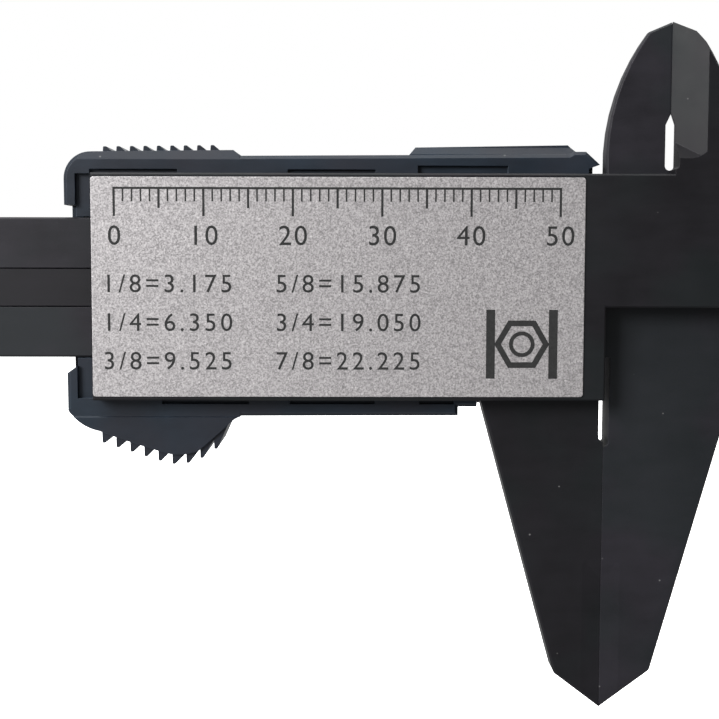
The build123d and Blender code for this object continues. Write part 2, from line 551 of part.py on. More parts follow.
def circuit_board():
    solid = block(BOARD_START, BOARD_END, BOARD_FRONT, BOARD_REAR, -BOARD_HALF, BOARD_HALF)
    reach = BOSS_R + 0.2
    for x, z in BOSSES:
        x0, x1 = (0, x + reach) if x < BOARD_END / 2 else (x - reach, FAR)
        z0, z1 = (z - reach, FAR) if z > 0 else (-FAR, z + reach)
        solid -= block(x0, x1, -FAR, FAR, z0, z1)
    for x, z in BOARD_SCREWS:
        solid -= rod_y(x, z, 0.75, FAR, -FAR)
    return solid


def board_screws():
    """Small screws driven from the display side: drawn from the rear and turned over."""
    one = screw(0, 0, 0.75, 1.15, 0.75, 0.6, -3.2)
    return [Pos(x, BOARD_FRONT, z) * Rot(0, 0, 180) * one for x, z in BOARD_SCREWS]


def board_chip():
    """The dome of resin over the processor."""
    radius, rise = 4.2, 1.4
    ball_r = (radius ** 2 + rise ** 2) / (2 * rise)
    ball = Pos(38, BOARD_FRONT - rise + ball_r, 4.5) * Sphere(ball_r)
    return ball & block(30, 46, -FAR, BOARD_FRONT, -5, 14)


def quartz_crystal():
    can = Pos(56.0, BOARD_FRONT - 0.85, -1.5) * Cylinder(0.8, 6.0)
    return fillet(can.edges().filter_by(GeomType.CIRCLE), 0.2)


def chip_capacitors():
    front = BOARD_FRONT - 0.8
    return [block(x - 0.8, x + 0.8, front, BOARD_FRONT, -5.4, -4.6) for x in (4.6, 7.4, 19.5, 22.0)]


def tact_switches():
    front, half = BOARD_FRONT - SWITCH_THICK, 1.9
    made = []
    for x in BUTTONS.values():
        body = block(x - half, x + half, front, BOARD_FRONT, BUTTON_Z - half, BUTTON_Z + half)
        made.append(body + rod_y(x, BUTTON_Z, 0.9, front, front - SWITCH_STEM))
    return made


def button(x):
    """A rounded key, the flange that keeps it in, and the stem that stops short of its switch."""
    cap = slab(key_outline(x, 0, 1.5), FACE + 0.05, SHELL_FRONT - BUTTON_PROUD)
    cap = fillet(cap.faces().sort_by(Axis.Y)[0].edges(), 0.45)
    flange = slab(key_outline(x, 1.1, 1.9), FACE + 0.75, FACE + 0.03)
    stem_end = BOARD_FRONT - SWITCH_THICK - SWITCH_STEM - BUTTON_TRAVEL - 0.05
    return cap + flange + rod_y(x, BUTTON_Z, 1.3, stem_end, FACE + 0.1)


def button_cell():
    """An LR44 cell: the can, and the smaller cap that faces the board."""
    rear = BOARD_FRONT - 0.16
    can = rod_y(CELL_X, CELL_Z, CELL_R, rear - 0.7, rear - CELL_THICK)
    can = fillet(can.edges().filter_by(GeomType.CIRCLE).sort_by(Axis.Y)[0], 0.4)
    cap = rod_y(CELL_X, CELL_Z, CELL_R - 1.1, rear, rear - 1.0)
    return can + fillet(top_circle(cap), 0.25)


def contact_minus():
    """The leaf that lies on the board under the cell's cap."""
    return block(CELL_X - 3.5, CELL_X + 3.5, BOARD_FRONT - 0.14, BOARD_FRONT, CELL_Z - 1.5, CELL_Z + 1.5)


def contact_plus():
    """The upright leaf beside the cell's can, and its foot on the board."""
    side, thick, top = CELL_X - CELL_R - 0.02, 0.12, CELL_Z + 3.4
    leaf = block(side - thick, side, BOARD_FRONT - 4.6, BOARD_FRONT, CELL_Z - 0.2, top)
    return leaf + block(side - thick, side + 0.9, BOARD_FRONT - thick, BOARD_FRONT, top - 2, top)


# ---- write every node -----------------------------------------------------------------------
STATOR_FRONT = BEAM_FRONT + STRIP_DEPTH - STATOR_THICK
NODES = {
    "beam": beam,
    "stator_strip": lambda: scale_layer(BEAM_FRONT + STRIP_DEPTH, STATOR_FRONT),
    "scale_plate": lambda: scale_layer(STATOR_FRONT, BEAM_FRONT + 0.05),
    "end_stop": end_stop,
    "end_stop_screws": end_stop_screws,
    "slider_frame": slider_frame,
    "gib_strip": gib_strip,
    "gib_spring": gib_spring,
    "depth_rod": depth_rod,
    "depth_rod_rivet": depth_rod_rivet,
    "rear_label": rear_label,
    "housing_screws": housing_screws,
    "front_housing": front_housing,
    "front_overlay": front_overlay,
    "display_window": display_window,
    "lcd_panel": lcd_panel,
    "lcd_holder": lcd_holder,
    "zebra_strips": zebra_strips,
    "circuit_board": circuit_board,
    "board_screws": board_screws,
    "board_chip": board_chip,
    "quartz_crystal": quartz_crystal,
    "chip_capacitors": chip_capacitors,
    "tact_switches": tact_switches,
    "button_cell": button_cell,
    "contact_minus": contact_minus,
    "contact_plus": contact_plus,
    "battery_cover": battery_cover,
}
for use, place in BUTTONS.items():
    NODES[f"button_{use}"] = lambda place=place: button(place)

os.makedirs("parts", exist_ok=True)
for name, make in NODES.items():
    made = make()
    shapes = made if isinstance(made, list) else [made]
    pieces = [piece for shape in shapes for piece in shape.solids()]
    export_step(pieces[0] if len(pieces) == 1 else Compound(children=pieces), f"parts/{name}.step")
    print(name, "solids", len(pieces))
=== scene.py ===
import math

import bmesh
import bpy
from mathutils import Matrix, Vector


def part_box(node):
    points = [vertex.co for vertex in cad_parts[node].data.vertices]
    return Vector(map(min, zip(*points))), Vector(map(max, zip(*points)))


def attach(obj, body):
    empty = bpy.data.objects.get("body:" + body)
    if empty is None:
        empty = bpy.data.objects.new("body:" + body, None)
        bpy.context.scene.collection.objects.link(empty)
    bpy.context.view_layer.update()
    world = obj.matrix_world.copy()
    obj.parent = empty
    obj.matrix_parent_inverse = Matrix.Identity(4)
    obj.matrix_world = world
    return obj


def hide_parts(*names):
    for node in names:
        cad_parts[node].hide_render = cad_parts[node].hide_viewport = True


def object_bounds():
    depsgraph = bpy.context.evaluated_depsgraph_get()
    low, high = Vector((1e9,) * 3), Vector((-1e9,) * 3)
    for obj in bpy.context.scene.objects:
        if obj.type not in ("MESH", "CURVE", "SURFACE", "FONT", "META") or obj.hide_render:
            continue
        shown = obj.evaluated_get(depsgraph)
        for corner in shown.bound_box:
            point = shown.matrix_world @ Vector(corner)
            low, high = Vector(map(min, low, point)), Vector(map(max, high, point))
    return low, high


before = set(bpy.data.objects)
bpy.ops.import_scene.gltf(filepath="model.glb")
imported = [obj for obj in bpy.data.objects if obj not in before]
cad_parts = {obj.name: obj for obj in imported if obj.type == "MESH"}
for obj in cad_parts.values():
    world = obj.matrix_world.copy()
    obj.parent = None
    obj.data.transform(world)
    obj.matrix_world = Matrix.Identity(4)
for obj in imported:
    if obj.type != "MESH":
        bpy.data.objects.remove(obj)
CAD_LOW, CAD_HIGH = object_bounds()

# The looks of a digital caliper around its fixed CAD frame. Metres. +X is the way the slider
# opens, +Z points to the inside jaws, +Y is the label side and -Y the display side.

MM = 0.001
INCH = 25.4 * MM
QUARTER = math.tau / 4

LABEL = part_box("rear_label")
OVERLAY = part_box("front_overlay")
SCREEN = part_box("lcd_panel")
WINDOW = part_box("display_window")
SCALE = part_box("scale_plate")
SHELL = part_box("front_housing")
BUTTONS = {name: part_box("button_" + name) for name in ("units", "power", "zero")}


# ---- materials ---------------------------------------------------------------------------
BEVEL_SAMPLES = 6


class Look:
    """A material under construction: its nodes, and the principled shader that they feed."""

    def __init__(self, name, **sockets):
        self.material = bpy.data.materials.new(name)
        self.material.use_nodes = True
        self.tree = self.material.node_tree
        self.shader = self.tree.nodes["Principled BSDF"]
        self.place = self.tree.nodes.new("ShaderNodeTexCoord").outputs["Object"]
        for socket, value in sockets.items():
            self.shader.inputs[socket.replace("_", " ")].default_value = value

    def feed(self, socket, value):
        """Links the socket to another node's output, or sets its value."""
        if isinstance(value, bpy.types.NodeSocket):
            self.tree.links.new(value, socket)
        else:
            socket.default_value = value

    def add(self, kind, inputs, **settings):
        """A new node, with its inputs given by name or by number."""
        node = self.tree.nodes.new("ShaderNode" + kind)
        for key, value in settings.items():
            setattr(node, key, value)
        for key, value in inputs.items():
            self.feed(node.inputs[key], value)
        return node

    def math(self, operation, a, b):
        return self.add("Math", {0: a, 1: b}, operation=operation).outputs[0]

    def plus(self, a, b):
        return self.math("ADD", a, b)

    def times(self, a, b):
        return self.math("MULTIPLY", a, b)

    def stretched(self, stretch):
        """The place on the object, scaled along each axis."""
        node = self.add("VectorMath", {0: self.place, 1: stretch}, operation="MULTIPLY")
        return node.outputs[0]

    def noise(self, size, detail, stretch=(1, 1, 1), rough=0.55):
        """Cloudy noise from 0 to 1, with features of this size in metres."""
        inputs = {"Vector": self.stretched(stretch), "Scale": 1 / size, "Detail": detail,
                  "Roughness": rough}
        return self.add("TexNoise", inputs).outputs[0]

    def remap(self, value, low, high, new_low=0.0, new_high=1.0):
        """The value, clamped between low and high and moved to the new range."""
        inputs = {0: value, 1: low, 2: high, 3: new_low, 4: new_high}
        return self.add("MapRange", inputs).outputs[0]

    def mix(self, share, a, b):
        """Colour a, turning to colour b as share goes from 0 to 1."""
        node = self.add("Mix", {0: share, 6: a, 7: b}, data_type="RGBA")
        return node.outputs[2]

    def specks(self, pitch, size, share, stretch=(1, 1, 1)):
        """Small spots: 1 inside a spot and 0 elsewhere. Only this share of the cells have one."""
        cells = self.add("TexVoronoi", {"Vector": self.stretched(stretch), "Scale": 1 / pitch})
        chance = self.add("SeparateColor", {0: cells.outputs["Color"]}).outputs[0]
        radius = size / pitch
        near = self.remap(cells.outputs["Distance"], radius, radius * 0.5)
        chosen = self.remap(chance, 1 - share, 1 - share + 0.02)
        return self.times(near, chosen)

    def rounded(self, radius):
        """The surface's normal, as if its edges had this radius."""
        return self.add("Bevel", {"Radius": radius}, samples=BEVEL_SAMPLES).outputs[0]

    def edges(self, radius):
        """1 on sharp outer and inner edges, falling to 0 at this distance from them."""
        true = self.add("NewGeometry", {}).outputs["Normal"]
        along = self.add("VectorMath", {0: self.rounded(radius), 1: true}, operation="DOT_PRODUCT")
        return self.remap(along.outputs["Value"], 0.995, 0.80)

    def bump(self, height, depth, strength, rounding=0.0):
        """Feeds the shader's normal with this height map, over edges rounded by this radius."""
        inputs = {"Height": height, "Distance": depth, "Strength": strength}
        if rounding:
            inputs["Normal"] = self.rounded(rounding)
        self.feed(self.shader.inputs["Normal"], self.add("Bump", inputs).outputs[0])

    def colour(self, value):
        self.feed(self.shader.inputs["Base Color"], value)

    def roughness(self, value):
        self.feed(self.shader.inputs["Roughness"], value)


def grey(level, tint=(1, 1, 1)):
    return (level * tint[0], level * tint[1], level * tint[2], 1)


def moulded(name, dark, pale, scuff_and_edge_highlight, stain, gloss=0.5, wear_and_highlight_share=0.45):
    """Fibre-filled moulded plastic: cloudy colour, a fine grain, dust, and paler edges that are
    partly rubbed wear and partly a painted highlight.
    """
    look = Look(name, Specular_IOR_Level=0.2)
    clouds = look.noise(9 * MM, detail=5, stretch=(1, 1, 0.6))
    flow = look.noise(1.6 * MM, detail=6, stretch=(0.3, 1, 1), rough=0.65)
    fine = look.noise(0.17 * MM, detail=3, rough=0.7)
    mixed = look.plus(look.times(clouds, 0.6), look.times(flow, 0.4))
    body = look.mix(look.remap(mixed, 0.36, 0.66), dark, pale)
    drift = look.remap(look.noise(13 * MM, detail=2), 0.45, 0.62, 0.0, 0.5)
    body = look.mix(drift, body, stain)
    body = look.mix(look.times(look.remap(fine, 0.45, 0.8), 0.35), body, pale)
    # The edges are painted paler with the scuff colour: partly rubbed wear, partly a painted
    # highlight of light catching the edges.
    wear_and_edge_highlight = look.times(look.edges(radius=0.12 * MM), look.remap(flow, 0.35, 0.7, 0.0, wear_and_highlight_share))
    body = look.mix(wear_and_edge_highlight, body, scuff_and_edge_highlight)
    lint = look.specks(pitch=4 * MM, size=0.24 * MM, share=0.10, stretch=(1, 1, 0.55))
    grit = look.specks(pitch=1.7 * MM, size=0.13 * MM, share=0.09)
    dust = look.math("MAXIMUM", grit, lint)
    look.colour(look.mix(look.times(dust, 0.55), body, grey(0.20)))
    sheen = look.remap(mixed, 0.35, 0.68, gloss - 0.07, gloss + 0.08)
    rough = look.plus(sheen, look.times(fine, 0.05))
    look.roughness(look.plus(rough, look.times(dust, 0.3)))
    height = look.plus(look.times(fine, 0.7), look.times(flow, 0.6))
    look.bump(height, depth=0.012 * MM, strength=0.6, rounding=0.1 * MM)
    return look.material


def foil():
    """Silver label foil: a sparkling grain of fine flakes under a clear film."""
    look = Look("label_foil", Metallic=0.55, Coat_Weight=0.08, Coat_Roughness=0.3)
    flakes = look.noise(0.17 * MM, detail=1, rough=0.5)
    grain = look.noise(0.32 * MM, detail=2, rough=0.6)
    broad = look.noise(14 * MM, detail=3)
    tone = look.plus(look.times(flakes, 0.75), look.times(grain, 0.25))
    base = look.mix(look.remap(tone, 0.32, 0.68), grey(0.19, SILVER), grey(0.48, SILVER))
    base = look.mix(look.times(look.remap(broad, 0.3, 0.7), 0.12), base, grey(0.29, SILVER))
    sparkle = look.specks(pitch=0.36 * MM, size=0.13 * MM, share=0.18)
    look.colour(look.mix(look.times(sparkle, 0.35), base, grey(0.75, SILVER)))
    look.roughness(look.remap(grain, 0.3, 0.7, 0.42, 0.52))
    look.bump(tone, depth=0.03 * MM, strength=0.5)
    return look.material


def ink(name, tone, gloss=0.55):
    """Screen-printed ink: not quite even, with paler patches."""
    look = Look(name, Specular_IOR_Level=0.2)
    cover = look.noise(0.3 * MM, detail=3, rough=0.7)
    thin = grey(min(1.0, tone[0] * 2 + 0.02))
    look.colour(look.mix(look.remap(cover, 0.35, 0.75, 0.0, 0.35), tone, thin))
    look.roughness(look.remap(cover, 0.3, 0.7, gloss - 0.08, gloss + 0.08))
    look.bump(cover, depth=0.004 * MM, strength=0.4)
    return look.material


def printed_sheet(name, tone, gloss):
    """A printed plastic film with a fine velvet grain and faint rubbing."""
    look = Look(name)
    velvet = look.noise(0.12 * MM, detail=2, rough=0.7)
    rub = look.noise(7 * MM, detail=6, stretch=(0.5, 1, 1), rough=0.65)
    rubbed = grey(tone[0] * 1.8 + 0.004)
    look.colour(look.mix(look.remap(rub, 0.4, 0.75, 0.0, 0.6), tone, rubbed))
    look.roughness(look.remap(rub, 0.3, 0.7, gloss - 0.06, gloss + 0.08))
    look.bump(velvet, depth=0.008 * MM, strength=0.5)
    return look.material


def clear_window():
    """The clear acrylic over the display, with hairline scratches."""
    look = Look("window_clear", Alpha=0.14, IOR=1.49)
    hair = look.noise(0.25 * MM, detail=2, stretch=(0.05, 1, 1.2), rough=0.6)
    look.roughness(look.remap(hair, 0.62, 0.7, 0.03, 0.16))
    look.colour(grey(0.12, (0.95, 1, 1.02)))
    look.material.surface_render_method = "BLENDED"
    return look.material


def lcd_glass():
    """The grey-green reflecting back of a liquid crystal panel under polished glass."""
    look = Look("lcd_glass", Coat_Weight=0.6, Coat_Roughness=0.05)
    fibre = look.noise(0.12 * MM, detail=3, stretch=(1, 1, 0.7), rough=0.7)
    drift = look.noise(11 * MM, detail=2)
    base = look.mix(look.remap(fibre, 0.3, 0.7), grey(0.30, CRYSTAL), grey(0.38, CRYSTAL))
    look.colour(look.mix(look.times(drift, 0.2), base, grey(0.26, (0.95, 1.08, 0.92))))
    look.roughness(look.remap(fibre, 0.3, 0.7, 0.4, 0.5))
    look.bump(fibre, depth=0.004 * MM, strength=0.3)
    return look.material


def rubber(name, tone):
    """Soft moulded rubber with a matt bloom."""
    look = Look(name, Specular_IOR_Level=0.3, Sheen_Weight=0.15, Sheen_Roughness=0.4)
    bloom = look.noise(1.2 * MM, detail=5, rough=0.6)
    pores = look.noise(0.15 * MM, detail=2, rough=0.7)
    # The edges are painted paler: partly wear, partly a painted highlight of light catching the
    # edges.
    wear_and_edge_highlight = look.times(look.edges(radius=0.15 * MM), 0.4)
    base = look.mix(look.remap(bloom, 0.35, 0.7), tone, grey(tone[0] * 1.7, (1, 1.01, 1.03)))
    look.colour(look.mix(wear_and_edge_highlight, base, grey(tone[0] * 2.6)))
    look.roughness(look.remap(bloom, 0.3, 0.7, 0.58, 0.72))
    look.bump(look.plus(pores, bloom), depth=0.01 * MM, strength=0.6, rounding=0.12 * MM)
    return look.material


def metal(name, tone, rough, streak=(1, 1, 1)):
    """Plated or drawn metal with fine lay lines and a little tarnish."""
    look = Look(name, Metallic=1.0)
    lay = look.noise(0.09 * MM, detail=3, stretch=streak, rough=0.6)
    stain = look.noise(2.2 * MM, detail=5, rough=0.65)
    base = look.mix(look.remap(lay, 0.3, 0.7, 0.0, 0.25), tone, grey(tone[0] * 0.6))
    look.colour(look.mix(look.remap(stain, 0.62, 0.8, 0.0, 0.45), base, TARNISH))
    drawn = look.remap(lay, 0.3, 0.7, rough - 0.05, rough + 0.08)
    look.roughness(look.plus(drawn, look.remap(stain, 0.55, 0.8, 0.0, 0.2)))
    look.bump(lay, depth=0.006 * MM, strength=0.4, rounding=0.06 * MM)
    return look.material


def circuit():
    """Green solder mask over copper tracks, with bare pads."""
    look = Look("board_green", Coat_Weight=0.4, Coat_Roughness=0.2)
    black, white = grey(0), grey(1)
    bricks = {"Vector": look.place, "Scale": 160.0, "Mortar Size": 0.06, "Color1": black,
              "Color2": black, "Mortar": white}
    lines = look.remap(look.add("TexBrick", bricks).outputs["Fac"], 0.4, 0.6)
    weave = look.noise(0.3 * MM, detail=2, rough=0.5)
    pads = look.specks(pitch=2.4 * MM, size=0.4 * MM, share=0.45)
    base = look.mix(look.times(lines, 0.7), (0.008, 0.055, 0.02, 1), (0.03, 0.13, 0.05, 1))
    base = look.mix(look.times(weave, 0.2), base, (0.01, 0.035, 0.015, 1))
    look.colour(look.mix(pads, base, (0.75, 0.55, 0.25, 1)))
    look.feed(look.shader.inputs["Metallic"], pads)
    look.roughness(look.remap(weave, 0.3, 0.7, 0.3, 0.42))
    look.bump(look.plus(lines, pads), depth=0.03 * MM, strength=0.5)
    return look.material


def ceramic():
    """Fired brown ceramic, mottled dark and pale."""
    look = Look("ceramic")
    fired = look.noise(0.2 * MM, detail=4, rough=0.6)
    mottled = look.remap(fired, 0.3, 0.7)
    look.colour(look.mix(mottled, (0.20, 0.12, 0.07, 1), (0.30, 0.20, 0.12, 1)))
    look.roughness(look.remap(fired, 0.3, 0.7, 0.4, 0.55))
    look.bump(fired, depth=0.008 * MM, strength=0.5, rounding=0.05 * MM)
    return look.material


VIOLET, TEAL, BLUE = (1.03, 0.95, 1.25), (0.62, 1.15, 1.15), (0.62, 0.98, 1.5)
SILVER, CRYSTAL = (1, 0.955, 0.965), (0.95, 1.06, 0.9)
TARNISH = (0.2, 0.17, 0.14, 1)
DRAWN = (0.1, 1, 1)         # lay lines along X

# Each scuff colour is painted on the edges, as rubbed wear and as a painted edge highlight.
SLIDER_PLASTIC = moulded("slider_composite", grey(0.0038, VIOLET), grey(0.0070, VIOLET),
                         scuff_and_edge_highlight=grey(0.03, VIOLET), stain=grey(0.0065, TEAL))
BEAM_PLASTIC = moulded("beam_composite", grey(0.0078, VIOLET), grey(0.0148, VIOLET),
                       scuff_and_edge_highlight=grey(0.035, VIOLET), stain=grey(0.0085, TEAL))
SHELL_PLASTIC = moulded("housing_plastic", grey(0.010, BLUE), grey(0.018, BLUE),
                        scuff_and_edge_highlight=grey(0.06, BLUE), stain=grey(0.015, VIOLET), gloss=0.45, wear_and_highlight_share=0.7)
ROD_PLASTIC = moulded("rod_composite", grey(0.0045, VIOLET), grey(0.008, VIOLET),
                      scuff_and_edge_highlight=grey(0.04, VIOLET), stain=grey(0.006, VIOLET), gloss=0.55)
DARK_INK = ink("dark_ink", grey(0.014), gloss=0.7)
PALE_INK = ink("pale_ink", grey(0.62, (1, 0.99, 0.96)))
CRYSTAL_INK = ink("crystal_ink", grey(0.012, (0.9, 1, 1.05)), gloss=0.3)
GHOST_INK = ink("ghost_ink", grey(0.25, CRYSTAL), gloss=0.3)
STEEL = metal("steel", grey(0.55), rough=0.3)
CONTACT_METAL = metal("contact_metal", (0.60, 0.57, 0.50, 1), rough=0.28, streak=DRAWN)
BRASS = metal("brass", (0.62, 0.44, 0.18, 1), rough=0.3, streak=DRAWN)
FOIL = foil()

NODE_LOOKS = {
    SLIDER_PLASTIC: ("slider_frame",),
    BEAM_PLASTIC: ("beam", "end_stop"),
    ROD_PLASTIC: ("depth_rod",),
    SHELL_PLASTIC: ("front_housing", "battery_cover"),
    FOIL: ("rear_label",),
    printed_sheet("overlay_print", grey(0.010, BLUE), gloss=0.42): ("front_overlay",),
    printed_sheet("scale_print", grey(0.016, BLUE), gloss=0.38): ("scale_plate",),
    clear_window(): ("display_window",),
    lcd_glass(): ("lcd_panel",),
    printed_sheet("holder_plastic", grey(0.35), gloss=0.5): ("lcd_holder",),
    rubber("zebra_rubber", grey(0.30)): ("zebra_strips",),
    rubber("button_rubber", grey(0.055, BLUE)): ("button_units", "button_power", "button_zero"),
    circuit(): ("circuit_board", "stator_strip"),
    printed_sheet("resin", grey(0.008), gloss=0.25): ("board_chip",),
    ceramic(): ("chip_capacitors",),
    printed_sheet("switch_black", grey(0.014), gloss=0.5): ("tact_switches",),
    metal("cell_steel", grey(0.62), rough=0.22): ("button_cell",),
    CONTACT_METAL: ("contact_minus", "contact_plus"),
    STEEL: ("end_stop_screws", "housing_screws", "board_screws", "gib_spring", "quartz_crystal"),
    BRASS: ("gib_strip", "depth_rod_rivet"),
}


def dress_nodes():
    """Gives every CAD node its material."""
    for material, names in NODE_LOOKS.items():
        for name in names:
            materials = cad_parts[name].data.materials
            materials.clear()
            materials.append(material)


# ---- mesh helpers ------------------------------------------------------------------------
REAR, FRONT = 1, -1         # which way a print faces: +Y or -Y
INK = 0.012 * MM            # thickness of printed ink
RING_STEPS = 48             # sides of a printed circle
ARC_STEPS = 6               # sides of a rounded corner
NUMERAL_HEIGHT = 0.729      # of a numeral in the built-in font, as a share of the font's size


def piece(name, bm, material, body):
    """A finished mesh piece that rides on a CAD body."""
    bmesh.ops.recalc_face_normals(bm, faces=bm.faces)
    mesh = bpy.data.meshes.new(name)
    bm.to_mesh(mesh)
    bm.free()
    mesh.materials.append(material)
    obj = bpy.data.objects.new(name, mesh)
    bpy.context.scene.collection.objects.link(obj)
    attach(obj, body)
    return obj


def band(bm, lower, upper):
    """Side faces between two rings of as many points."""
    for i in range(len(lower)):
        j = (i + 1) % len(lower)
        bm.faces.new((lower[i], lower[j], upper[j], upper[i]))


def prism(bm, points, base, side):
    """An ink shape drawn in X and Z, standing on the plane y = base on this side of it."""
    near = [bm.verts.new((x, base, z)) for x, z in points]
    far = [bm.verts.new((x, base + side * INK, z)) for x, z in points]
    bm.faces.new(near)
    bm.faces.new(far)
    band(bm, near, far)


def bar(bm, x0, x1, z0, z1, base, side):
    prism(bm, [(x0, z0), (x1, z0), (x1, z1), (x0, z1)], base, side)


def upright(bm, x, half, z0, z1, base, side):
    """A mark from z0 to z1 that reaches half its width to each side of x."""
    bar(bm, x - half, x + half, z0, z1, base, side)


def polar(x, z, radius, angle):
    """A point round (x, z), with its angle counted from +Z towards +X."""
    return (x + radius * math.sin(angle), z + radius * math.cos(angle))


def sector(bm, x, z, outer, inner, a, b, base, side):
    """The straight-sided part of a ring between the angles a and b."""
    corners = ((outer, a), (outer, b), (inner, b), (inner, a))
    prism(bm, [polar(x, z, radius, angle) for radius, angle in corners], base, side)


def ring(bm, x, z, outer, inner, base, side, start=0.0, turn=math.tau):
    """A printed ring, or a part of one, made of short sectors."""
    steps = round(RING_STEPS * turn / math.tau)
    for i in range(steps):
        a = start + turn * i / steps
        b = start + turn * (i + 1) / steps
        sector(bm, x, z, outer, inner, a, b, base, side)


def write(bm, text, x, z, height, base, side, align="CENTER", spread=1.12):
    """Prints numerals of this height, with their feet at z, readable from that side."""
    curve = bpy.data.curves.new("numerals", "FONT")
    curve.body = text
    curve.align_x = align
    curve.space_character = spread
    curve.resolution_u = 4
    holder = bpy.data.objects.new("numerals", curve)
    bpy.context.scene.collection.objects.link(holder)
    bpy.context.view_layer.update()
    finished = holder.evaluated_get(bpy.context.evaluated_depsgraph_get())
    flat = bpy.data.meshes.new_from_object(finished)
    scale = height / NUMERAL_HEIGHT
    for vertex in flat.vertices:
        u, v = vertex.co.x * scale, vertex.co.y * scale
        vertex.co = Vector((x - side * u, base + side * INK, z + v))
    start = len(bm.faces)
    bm.from_mesh(flat)
    bm.faces.ensure_lookup_table()
    grown = bmesh.ops.extrude_face_region(bm, geom=bm.faces[start:])
    moved = [g for g in grown["geom"] if isinstance(g, bmesh.types.BMVert)]
    bmesh.ops.translate(bm, vec=(0, -side * INK, 0), verts=moved)
    bpy.data.objects.remove(holder)
    bpy.data.curves.remove(curve)
    bpy.data.meshes.remove(flat)


def mark_length(step, long_every, middle_every, lengths):
    """The length of one mark of a ruler, from its long, middle and short lengths."""
    long, middle, short = lengths
    if step % long_every == 0:
        return long * MM
    if step % middle_every == 0:
        return middle * MM
    return short * MM


# ---- rear label --------------------------------------------------------------------------
LABEL_RELIEF = 0.03 * MM    # how far the visible label stays below the CAD label's face
LABEL_FACE = LABEL[1].y - LABEL_RELIEF      # the visible label's face
LABEL_LEFT = LABEL[1].x                     # its left edge, as a reader sees it
LABEL_CORNER = 0.35 * MM
LABEL_ROLL = 0.06 * MM      # radius of the rolled rim
RULER_TOP = LABEL[1].z - 1.4 * MM
RULER_START = LABEL_LEFT - 2.6 * MM
RULER_LENGTH = 50
RULER_MARKS = (3.0, 2.1, 1.35)
RULER_FOOT, RULER_NUMERAL = RULER_TOP - 6.2 * MM, 2.3 * MM
RULER_LINE = 0.25 * MM      # thickness of the line along its top
BOLD, THIN = 0.13 * MM, 0.09 * MM           # half the width of a ruler's mark
TABLE_ROWS = (("1/8=3.175", "5/8=15.875"),
              ("1/4=6.350", "3/4=19.050"),
              ("3/8=9.525", "7/8=22.225"))
TABLE_TOP, TABLE_STEP = LABEL[1].z - 12.9 * MM, 4.35 * MM
TABLE_COLUMNS = (LABEL_LEFT - 1.2 * MM, LABEL_LEFT - 20.6 * MM)
TABLE_HEIGHT = 2.1 * MM
SIGN_MIDDLE = (LABEL[0].x + 7.0 * MM, LABEL[0].z + 6.0 * MM)
NUT_SIDES, NUT_RADIUS, NUT_WALL = 6, 3.1 * MM, 0.75 * MM
HOLE_RADIUS, HOLE_WALL = 1.45 * MM, 0.45 * MM
JAW_GAP, JAW_WIDE, JAW_HALF_HIGH = 0.35 * MM, 1.0 * MM, 3.9 * MM


def label_outline(inset):
    """The label's outline in X and Z with rounded corners, drawn in by this much."""
    left, right = LABEL[0].x + LABEL_CORNER, LABEL[1].x - LABEL_CORNER
    foot, top = LABEL[0].z + LABEL_CORNER, LABEL[1].z - LABEL_CORNER
    points = []
    for quarter, (x, z) in enumerate(((right, top), (right, foot), (left, foot), (left, top))):
        for step in range(ARC_STEPS + 1):
            angle = QUARTER * quarter + QUARTER * step / ARC_STEPS
            points.append(polar(x, z, LABEL_CORNER - inset, angle))
    return points


def label_sheet():
    """The foil label: a thin sheet whose corners are rounded and whose rim is rolled over."""
    roll, part = LABEL_ROLL, LABEL_ROLL * 0.3
    levels = ((0, LABEL[0].y), (0, LABEL_FACE - roll), (part, LABEL_FACE - part), (roll, LABEL_FACE))
    bm = bmesh.new()
    rings = [[bm.verts.new((x, y, z)) for x, z in label_outline(inset)] for inset, y in levels]
    for lower, upper in zip(rings, rings[1:]):
        band(bm, lower, upper)
    bm.faces.new(rings[0])
    bm.faces.new(rings[-1])
    sheet = piece("label_sheet", bm, FOIL, "slider")
    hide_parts("rear_label")


def label_ruler(bm):
    """A 50 mm ruler along the top of the label, with a numeral every 10 mm."""
    for step in range(RULER_LENGTH + 1):
        x = RULER_START - step * MM
        foot = RULER_TOP - mark_length(step, 10, 5, RULER_MARKS)
        upright(bm, x, THIN if step % 5 else BOLD, foot, RULER_TOP, LABEL_FACE, REAR)
        if step % 10 == 0:
            write(bm, str(step), x, RULER_FOOT, RULER_NUMERAL, LABEL_FACE, REAR)
    end = RULER_START - RULER_LENGTH * MM
    top = RULER_TOP + RULER_LINE
    bar(bm, end - BOLD, RULER_START + BOLD, RULER_TOP, top, LABEL_FACE, REAR)


def label_table(bm):
    """Rows of inch fractions with their millimetres."""
    for row, entries in enumerate(TABLE_ROWS):
        foot = TABLE_TOP - row * TABLE_STEP
        for x, entry in zip(TABLE_COLUMNS, entries):
            write(bm, entry, x, foot, TABLE_HEIGHT, LABEL_FACE, REAR, align="LEFT", spread=1.25)


def label_sign(bm):
    """A generic sign of a nut held between two measuring faces."""
    x, z = SIGN_MIDDLE
    side = math.tau / NUT_SIDES
    for i in range(NUT_SIDES):
        a, b = (i + 0.5) * side, (i + 1.5) * side
        sector(bm, x, z, NUT_RADIUS, NUT_RADIUS - NUT_WALL, a, b, LABEL_FACE, REAR)
    ring(bm, x, z, HOLE_RADIUS, HOLE_RADIUS - HOLE_WALL, LABEL_FACE, REAR)
    reach = NUT_RADIUS * math.cos(side / 2) + JAW_GAP + JAW_WIDE / 2
    for middle in (x - reach, x + reach):
        low, high = z - JAW_HALF_HIGH, z + JAW_HALF_HIGH
        upright(bm, middle, JAW_WIDE / 2, low, high, LABEL_FACE, REAR)


def label_print():
    bm = bmesh.new()
    label_ruler(bm)
    label_table(bm)
    label_sign(bm)
    piece("label_print", bm, DARK_INK, "slider")


